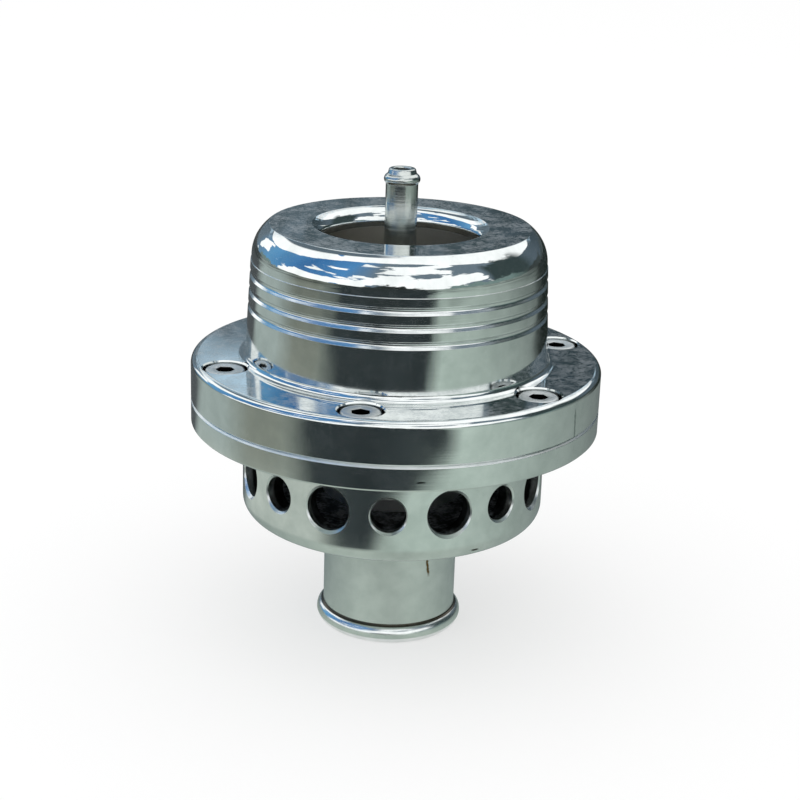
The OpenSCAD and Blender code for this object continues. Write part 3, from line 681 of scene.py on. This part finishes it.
# Mirror polished aluminium: sharp reflections, dust on the flat faces, and a dull floor in the well
upper_housing.data.materials.append(satin_or_mirror(
    "mirror_aluminium_cap",
    [(44.5, 0.30), (44.85, 0.30), (44.95, 0.11), (51, 0.09), (52.2, 0.04), (53.8, 0.08), (60.8, 0.07),
     *satin_grooves, (70, 0.04), (71, 0.025), (76.7, 0.025)],
    film_and_shade=(15.0, 63.5, 73.2, "#A39F95", 0.42),
    marks=[(56.5, 47.2, 0.5, 6.0, 0.05, "#9AA39F")]))
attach(upper_housing, "housing")
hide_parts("upper_housing")

# Nipple seal: a ring moulded from rubber. The nipple's collar presses it on the well's floor,
# so that the vacuum doesn't leak past the thread.
nipple_seal = turned("nipple_seal_moulded", outline([
    (2.95, 64, 0.1), (5, 64, 0.2), (5, 65, 0.2), (2.95, 65, 0.1)]), sides=72)
nipple_seal.data.materials.append(black_rubber)
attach(nipple_seal, "housing")
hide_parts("nipple_seal")

# Vacuum nipple: a hose tail turned from aluminium, screwed into the well's floor down to its
# collar. A round bead under the tapered tip holds the hose.
vacuum_nipple = turned("vacuum_nipple_turned", outline([
    (1.5, 61, 0.2), (2.6, 61), *thread(2.9, 61.3, 64.8, 0.8, 0.4), (2.9, 65), (5, 65, 0.2), (5, 67, 0.35),
    (2.9, 67, 0.4), (2.9, 84.24, 0.15), *arc(2.25, 85, 1.0, -45, 62, 6), (2.6, 86, 0.1),
    (2.35, 86.9, 0.35), (1.5, 86.9, 0.3)]), sides=96)
# Turned aluminium: fine rings that draw the light out into soft bands
vacuum_nipple.data.materials.append(
    turned_metal("turned_aluminium_nipple", "#CFD3D0", "#B9BFBB", 0.19, 0.35))
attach(vacuum_nipple, "housing")
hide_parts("vacuum_nipple")

# Flange screws: six M4 socket-head cap screws, cold headed from steel and zinc plated, sunk in
# the counterbores. They clamp the flanges and the diaphragm's rim. Heads are finely knurled.
SCREW_SIDES, HEAD_RADIUS, KNURL, SOCKET_FLATS, SOCKET_CORNER = 72, 3.5, 0.07, 3.0, 1.74
socket_rings = [(1.95, 52.1), (1.78, 51.95), (SOCKET_CORNER, 51.85), (SOCKET_CORNER, 50.1), (0, 49.7)]
screw = turned("flange_screws_headed", [
    (0, 40.1), (1.5, 40.1), *thread(2.0, 40.4, 47.4, 0.7, 0.38), (2.0, 47.9), (2.15, 48.1), (3.3, 48.1),
    (HEAD_RADIUS, 48.3), (HEAD_RADIUS, 51.55), (3.44, 51.8), (3.3, 51.98), (3.08, 52.08), (2.9, 52.1),
    *socket_rings], sides=SCREW_SIDES, closed=False)
# Painted shade, near black, fills the socket and the gap round the head, up to these heights.
SOCKET_SHADE, GAP_SHADE = 51.9, 51.2
painted_shade = screw.data.attributes.new("painted_shade", "FLOAT", "POINT")
for i, v in enumerate(screw.data.vertices):
    reach = math.hypot(v.co.x, v.co.y) * 1000
    turn = math.atan2(v.co.y, v.co.x)
    height = v.co.z * 1000
    in_socket = reach < 1.9 and height > 49.6
    painted_shade.data[i].value = float(height < (SOCKET_SHADE if in_socket else GAP_SHADE))
    if in_socket and reach > 0.1:
        fit = flats(turn, SOCKET_FLATS) * reach / SOCKET_CORNER
        v.co.x, v.co.y = fit * math.cos(turn) / 1000, fit * math.sin(turn) / 1000
    elif reach > HEAD_RADIUS - 0.02 and round(turn / (2 * math.pi) * SCREW_SIDES) % 2:
        v.co.x, v.co.y = [c * (HEAD_RADIUS - KNURL) / HEAD_RADIUS for c in (v.co.x, v.co.y)]
smooth(screw.data)
# Zinc plate on steel: pale and matt on the heads, with painted black shade in the sockets and round the heads
screw_steel = turned_metal("zinc_plated_screw", "#DCDEDC", "#C2C6C6", 0.44, 0.3, painted_shade="#0B0B0A")
flange_screws = round_the_axis(screw, **SCREW_HOLES, spin=60, seed=4, material=screw_steel)
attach(flange_screws, "housing")
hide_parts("flange_screws")

# Studio: a plain pale floor, even light from all sides and one large soft lamp.
# Cards that only the metal sees stand in for a yard and a cloudy sky, so that it reads as polished.
FLOOR_HALF, FLOOR_HEIGHT = 4.0, -0.00005
floor_mesh = bpy.data.meshes.new("floor")
floor_mesh.from_pydata([
    (x * FLOOR_HALF, y * FLOOR_HALF, FLOOR_HEIGHT) for x, y in ((-1, -1), (1, -1), (1, 1), (-1, 1))],
    [], [(0, 1, 2, 3)])
floor = placed("floor", floor_mesh)
# Floor paint: near white, so that the part stands on a plain ground with a faint shadow
floor_paint, tree = new_material("pale_floor")
ray = add(tree, "ShaderNodeLightPath").outputs
looked_at = 0.0
for kind in ("Is Camera Ray", "Is Glossy Ray", "Is Transmission Ray"):
    looked_at = add(tree, "ShaderNodeMath", {0: looked_at, 1: ray[kind]}, operation="MAXIMUM")
# A floor that is partly lit from within keeps the shadow, at half its depth.
lift = add(tree, "ShaderNodeMath", {0: looked_at, 1: 0.5}, operation="MULTIPLY")
matt = add(tree, "ShaderNodeBsdfDiffuse", {"Color": linear("#FAFAFA")})
pale = add(tree, "ShaderNodeEmission", {0: linear("#FFFFFF"), 1: 1.0})
surface = add(tree, "ShaderNodeMixShader", {0: lift, 1: matt, 2: pale})
add(tree, "ShaderNodeOutputMaterial", {0: surface})
floor_mesh.materials.append(floor_paint)

world = bpy.data.worlds.new("studio")
bpy.context.scene.world = world
world.use_nodes = True
world.node_tree.nodes["Background"].inputs[0].default_value = linear("#FFFFFF")
world.node_tree.nodes["Background"].inputs[1].default_value = 1.0

soft_lamp = bpy.data.lights.new("soft_lamp", "AREA")
soft_lamp.energy, soft_lamp.size = 4.0, 2.0
lamp = placed("soft_lamp", soft_lamp)
lamp.location = (-0.5, -0.5, 1.3)
lamp.rotation_euler = (Vector((0, 0, 0.04)) - lamp.location).to_track_quat("-Z", "Y").to_euler()
lamp.visible_glossy = False

# The cards glow as much brighter as the metal is darker than a full mirror.
CARD_GLOW = 1.38


def only_reflected(name, bm):
    """A card that shows in reflections alone, and neither lights nor shades the scene. Gives its
    node tree, and where a point of it lies from the axis: its place and its bearing from the front,
    which runs from 0 behind over 0.5 in front back to 1 behind."""
    mesh = bpy.data.meshes.new(name)
    bm.to_mesh(mesh)
    bm.free()
    card = placed(name, mesh)
    card.visible_camera = card.visible_diffuse = card.visible_shadow = False
    card.visible_transmission = card.visible_volume_scatter = False
    paint, tree = new_material(name)
    paint.cycles.emission_sampling = "NONE"
    mesh.materials.append(paint)
    place = add(tree, "ShaderNodeTexCoord").outputs["Object"]
    way = add(tree, "ShaderNodeSeparateXYZ", {0: place}).outputs
    forward = add(tree, "ShaderNodeMath", {0: way[1], 1: -1.0}, operation="MULTIPLY")
    turn = add(tree, "ShaderNodeMath", {0: way[0], 1: forward}, operation="ARCTAN2")
    bearing = add(tree, "ShaderNodeMapRange", {0: turn, 1: -math.pi, 2: math.pi}, clamp=False)
    return tree, place, bearing


def by_bearing(tree, bearing, stops):
    """Tones or amounts round the horizon, blended from stops: (degrees from the front towards +X, hex
    colour or amount from 0 to 1)."""
    ramp = add(tree, "ShaderNodeValToRGB", {0: bearing})
    elements = ramp.color_ramp.elements
    elements.remove(elements[-1])
    for i, (degrees, shown) in enumerate(stops):
        spot = degrees / 360 + 0.5
        stop = elements.new(spot) if i else elements[0]
        stop.position = spot
        stop.color = linear(shown) if isinstance(shown, str) else (shown, shown, shown, 1)
    return ramp


# Sky: blue on the left and hazy elsewhere, with cloud, trees and the far side of the yard
PALE_BLUE, BLUE, DEEP_BLUE = "#5C92BC", "#4A80B2", "#3A6CA0"
HAZE, BACKLIT, DUSK = "#66747F", "#536169", "#333E45"
bm = bmesh.new()
bmesh.ops.create_uvsphere(bm, u_segments=48, v_segments=24, radius=3.0)
tree, place, bearing = only_reflected("sky_card", bm)
toward = add(tree, "ShaderNodeVectorMath", {0: place}, operation="NORMALIZE")
height = add(tree, "ShaderNodeSeparateXYZ", {0: toward}).outputs[2]
flat_way = add(tree, "ShaderNodeVectorMath", {0: toward, 1: (1.0, 1.0, 2.6)}, operation="MULTIPLY")
clouds = add(tree, "ShaderNodeTexNoise", {"Vector": flat_way, "Scale": 2.4, "Detail": 6.0, "Distortion": 0.3})
cloud_stir = add(tree, "ShaderNodeMapRange", {0: clouds, 1: 0.25, 2: 0.75, 3: -0.14, 4: 0.14})
stirred = add(tree, "ShaderNodeMath", {0: height, 1: cloud_stir})
shapes = add(tree, "ShaderNodeTexNoise", {"Vector": toward, "Scale": 7.0, "Detail": 4.0})
shape_stir = add(tree, "ShaderNodeMapRange", {0: shapes, 1: 0.25, 2: 0.75, 3: -0.10, 4: 0.10})
skyline = add(tree, "ShaderNodeMath", {0: height, 1: shape_stir})

clear_sky = by_bearing(tree, bearing, [
    (-180, BACKLIT), (-174, HAZE), (-150, HAZE), (-120, PALE_BLUE), (-82, DEEP_BLUE), (-45, BLUE),
    (-18, HAZE), (80, HAZE), (174, DUSK), (180, BACKLIT)])

# Cloud lies overhead and towards the back, in a bank above the skyline, and loosely in front.
wide = add(tree, "ShaderNodeVectorMath", {0: toward, 1: (0.75, 1.0, 1.0)}, operation="MULTIPLY")
wide = add(tree, "ShaderNodeVectorMath", {0: wide}, operation="NORMALIZE")
dome = add(tree, "ShaderNodeVectorMath", {0: wide, 1: (0.0, 0.426, 0.905)}, operation="DOT_PRODUCT")
dome = add(tree, "ShaderNodeMapRange", {0: dome, 1: 0.69, 2: 0.73})
dome_foot = add(tree, "ShaderNodeMapRange", {0: height, 1: 0.33, 2: 0.38})
dome = where_all(tree, dome, dome_foot)
behind = by_bearing(tree, bearing, [(-160, 1), (-140, 0), (145, 0), (160, 1)])
slope = by_bearing(tree, bearing, [
    (-180, 0.125), (-150, 0.5), (-128, 0.125), (-100, 0.5), (-35, 0.5), (-14, 0.04), (4, 0), (18, 0.3),
    (32, 0.3), (50, 0), (180, 0.125)])
slope = add(tree, "ShaderNodeMapRange", {0: slope, 1: 0.0, 2: 0.5, 3: -0.08, 4: 0.15})
lifted = add(tree, "ShaderNodeMath", {0: stirred, 1: slope})
bank_foot = add(tree, "ShaderNodeMapRange", {0: lifted, 1: 0.09, 2: 0.14})
bank_top = add(tree, "ShaderNodeMapRange", {0: lifted, 1: 0.43, 2: 0.35, 3: 0.0, 4: 0.65})
bank_side = by_bearing(tree, bearing, [
    (-149, 0), (-141, 1), (-128, 1), (-118, 0), (-112, 0), (-84, 1), (66, 1), (76, 0)])
bank = where_all(tree, bank_foot, bank_top, bank_side)
loose = by_bearing(tree, bearing, [
    (-60, 0), (-35, 0.2), (-12, 1), (42, 1), (64, 0.5), (80, 0.04), (100, 0)])
under_dome = add(tree, "ShaderNodeMapRange", {0: height, 1: 0.94, 2: 0.90, 3: 0.0, 4: 0.5})
billows = add(tree, "ShaderNodeMapRange", {0: clouds, 1: 0.3, 2: 0.7})
in_view = add(tree, "ShaderNodeMath", {0: 1.0, 1: behind}, operation="SUBTRACT")
billows = where_all(tree, billows, in_view)
cloud = add(tree, "ShaderNodeMath", {0: loose, 1: under_dome, 2: billows}, operation="MULTIPLY_ADD")
cloud = add(tree, "ShaderNodeMath", {0: cloud, 1: bank})
cloud = add(tree, "ShaderNodeMath", {0: cloud, 1: dome})
gap_foot = add(tree, "ShaderNodeMapRange", {0: height, 1: 0.87, 2: 0.89})
gap_top = add(tree, "ShaderNodeMapRange", {0: height, 1: 0.94, 2: 0.925, 3: 0.0, 4: -0.45})
cloud = add(tree, "ShaderNodeMath", {0: gap_foot, 1: gap_top, 2: cloud}, operation="MULTIPLY_ADD")
cloud = add(tree, "ShaderNodeMapRange", {0: cloud, 1: 0.80, 2: 0.88})
seen = add(tree, "ShaderNodeMix", {0: cloud, 6: clear_sky, 7: linear("#FCFDFE")}, data_type="RGBA")

# A grey streak through the overhead cloud on the left, and trees on the right
streak = add(tree, "ShaderNodeVectorMath", {0: toward, 1: (-0.098, 0.486, 0.869)}, operation="DOT_PRODUCT")
streak_foot = add(tree, "ShaderNodeMapRange", {0: streak, 1: 0.842, 2: 0.858})
streak_top = add(tree, "ShaderNodeMapRange", {0: streak, 1: 0.95, 2: 0.935})
east = add(tree, "ShaderNodeSeparateXYZ", {0: toward}).outputs[0]
streak_side = add(tree, "ShaderNodeMapRange", {0: east, 1: 0.05, 2: -0.15})
streak = where_all(tree, streak_foot, streak_top, streak_side)
tree_side = by_bearing(tree, bearing, [(72, 0), (78, 1), (116, 1), (128, 0)])
tree_top = add(tree, "ShaderNodeMapRange", {0: skyline, 1: 0.68, 2: 0.60})
trees = where_all(tree, tree_side, tree_top)

# Behind, low leaves with small gaps, and torn pale cloud over them
leaves = add(tree, "ShaderNodeTexNoise", {"Vector": toward, "Scale": 75.0, "Detail": 4.0})
dark_leaf = add(tree, "ShaderNodeMapRange", {0: leaves, 1: 0.42, 2: 0.58, 3: 0.0, 4: 0.65})
dark_leaf = where_all(tree, dark_leaf, behind)
over_leaves = add(tree, "ShaderNodeMapRange", {0: height, 1: 0.295, 2: 0.31})
torn = add(tree, "ShaderNodeTexNoise", {"Vector": toward, "Scale": 15.0, "Detail": 3.0})
torn_side = by_bearing(tree, bearing, [(-180, 0.125), (-171, 0.5), (0, 0), (172, 0), (180, 0.125)])
torn = add(tree, "ShaderNodeMath", {0: torn_side, 1: 0.24, 2: torn}, operation="MULTIPLY_ADD")
torn = add(tree, "ShaderNodeMapRange", {0: torn, 1: 0.52, 2: 0.62, 3: 0.0, 4: 0.9})
torn = where_all(tree, torn, over_leaves, behind)
for amount, tone in ((streak, "#5A6771"), (trees, "#344041"), (dark_leaf, "#2F3A3C"), (torn, "#AFC8DA")):
    seen = add(tree, "ShaderNodeMix", {0: amount, 6: seen, 7: linear(tone)}, data_type="RGBA")

# Along the skyline lie stone walls, hedges and open fields.
STONE, SHADED_STONE, PALE_STONE, HEDGE, DARK_HEDGE = "#8E8E82", "#6C6C62", "#A3A292", "#343A39", "#222624"
FIELD, FAR_FIELD = "#6E827F", "#465054"
far_yard = by_bearing(tree, bearing, [
    (-180, FAR_FIELD), (-120, FIELD), (-80, STONE), (-60, SHADED_STONE), (-40, PALE_STONE), (-22, HEDGE),
    (0, DARK_HEDGE), (20, HEDGE), (42, FIELD), (92, FIELD), (118, HEDGE), (180, FAR_FIELD)])
skyline = add(tree, "ShaderNodeMath", {0: skyline, 1: slope})
above_yard = add(tree, "ShaderNodeMapRange", {0: skyline, 1: 0.05, 2: 0.08})
seen = add(tree, "ShaderNodeMix", {0: above_yard, 6: far_yard, 7: seen}, data_type="RGBA")
glow = add(tree, "ShaderNodeEmission", {0: seen, 1: CARD_GLOW})
add(tree, "ShaderNodeOutputMaterial", {0: glow})

# Yard: gravel on the floor from the bead outwards, with tarmac behind and a dark patch of shade in front
YARD_NEAR, YARD_FAR, YARD_SIDES, YARD_HEIGHT = 0.0142, 2.95, 96, 0.0002
TARMAC, GRAVEL, VERGE, PALE_GRAVEL = "#484C4E", "#95A09D", "#7B8077", "#ABB9B1"
DRY_GRAVEL, DULL_GRAVEL, WET_GRAVEL = "#A2ADA5", "#959F98", "#646E6E"
bm = bmesh.new()
turns = [2 * math.pi * i / YARD_SIDES for i in range(YARD_SIDES)]
rims = [[bm.verts.new((r * math.sin(a), -r * math.cos(a), YARD_HEIGHT)) for a in turns]
        for r in (YARD_NEAR, YARD_FAR)]
for i in range(YARD_SIDES):
    j = (i + 1) % YARD_SIDES
    bm.faces.new([rims[0][i], rims[1][i], rims[1][j], rims[0][j]])
tree, place, bearing = only_reflected("yard_card", bm)
away = add(tree, "ShaderNodeVectorMath", {0: place}, operation="LENGTH")
patches = add(tree, "ShaderNodeTexNoise", {"Vector": place, "Scale": 11.0, "Detail": 4.0})
sway = add(tree, "ShaderNodeMapRange", {0: patches, 1: 0.25, 2: 0.75, 3: -0.02, 4: 0.02})
swayed = add(tree, "ShaderNodeMath", {0: bearing, 1: sway})
near_ground = by_bearing(tree, swayed, [
    (-150, WET_GRAVEL), (-35, DRY_GRAVEL), (15, DULL_GRAVEL), (30, DRY_GRAVEL), (150, WET_GRAVEL)])
far_ground = by_bearing(tree, swayed, [
    (-135, TARMAC), (-122, GRAVEL), (-97, GRAVEL), (-79, VERGE), (-62, VERGE), (10, PALE_GRAVEL),
    (33, PALE_GRAVEL), (165, TARMAC)])
pale_side = by_bearing(tree, swayed, [(-128, 0), (-112, 1), (-50, 1), (-36, 0)])
pale_near = add(tree, "ShaderNodeMapRange", {0: away, 1: 0.14, 2: 0.115})
pale = where_all(tree, pale_side, pale_near)
far_ground = add(tree, "ShaderNodeMix", {0: pale, 6: far_ground, 7: linear("#ABB3AC")}, data_type="RGBA")
reach = add(tree, "ShaderNodeMapRange", {0: away, 1: 0.055, 2: 0.085})
ground = add(tree, "ShaderNodeMix", {0: reach, 6: near_ground, 7: far_ground}, data_type="RGBA")
narrowing = add(tree, "ShaderNodeMapRange", {0: away, 1: 0.09, 2: 0.165, 3: -12 / 360, 4: 0.0})
narrowed = add(tree, "ShaderNodeMath", {0: swayed, 1: narrowing})
shade_left = by_bearing(tree, narrowed, [(-58, 0), (-42, 1)])
widening = add(tree, "ShaderNodeMapRange", {0: away, 1: 0.09, 2: 0.165, 3: 0.0, 4: -38 / 360})
leaning = add(tree, "ShaderNodeMath", {0: swayed, 1: widening})
shade_right = by_bearing(tree, leaning, [(-16, 1), (-6, 0)])
shade = where_all(tree, shade_left, shade_right, reach)
shaded = add(tree, "ShaderNodeMix", {
    0: patches, 6: linear("#0E1416"), 7: linear("#3E4648")}, data_type="RGBA")
seen = add(tree, "ShaderNodeMix", {0: shade, 6: ground, 7: shaded}, data_type="RGBA")
hedge_side = by_bearing(tree, swayed, [(100, 0), (112, 0.07), (121, 0.2), (131, 0.8), (137, 1)])
hedge_near = add(tree, "ShaderNodeMapRange", {0: away, 1: 0.172, 2: 0.188})
hedge = where_all(tree, hedge_side, hedge_near)
distant = add(tree, "ShaderNodeMapRange", {0: away, 1: 0.26, 2: 0.5})
lumps = add(tree, "ShaderNodeTexNoise", {"Vector": place, "Scale": 2.6, "Detail": 3.0})
lumps = add(tree, "ShaderNodeMapRange", {0: lumps, 1: 0.38, 2: 0.62, 3: 0.75, 4: 0.0})
distant = where_all(tree, distant, lumps)
for amount, tone in ((hedge, "#1C2220"), (distant, "#2A3030")):
    seen = add(tree, "ShaderNodeMix", {0: amount, 6: seen, 7: linear(tone)}, data_type="RGBA")
glow = add(tree, "ShaderNodeEmission", {0: seen, 1: CARD_GLOW})
add(tree, "ShaderNodeOutputMaterial", {0: glow})

# Camera: in front and a little above, rolled slightly, as the photograph was taken.
IMAGE_SIDE, FOCAL_PIXELS, SENSOR = 800, 1700, 36.0
aim = Vector((0, 0, 0.04254))
elevation, distance, roll = math.radians(18.79), 0.3152, math.radians(1.9)
aim_pixel = (394.7, 405.0)
camera_data = bpy.data.cameras.new("camera")
camera_data.sensor_width = SENSOR
camera_data.lens = SENSOR * FOCAL_PIXELS / IMAGE_SIDE
camera_data.shift_x = (IMAGE_SIDE / 2 - aim_pixel[0]) / IMAGE_SIDE
camera_data.shift_y = (aim_pixel[1] - IMAGE_SIDE / 2) / IMAGE_SIDE
camera_data.clip_start = 0.01
camera = placed("camera", camera_data)
back = Vector((0, -math.cos(elevation), math.sin(elevation)))
camera.location = aim + back * distance
camera.rotation_mode = "QUATERNION"
camera.rotation_quaternion = (-back).to_track_quat("-Z", "Y") @ Quaternion((0, 0, 1), roll)
bpy.context.scene.camera = camera
bpy.context.scene.view_settings.view_transform = "Standard"
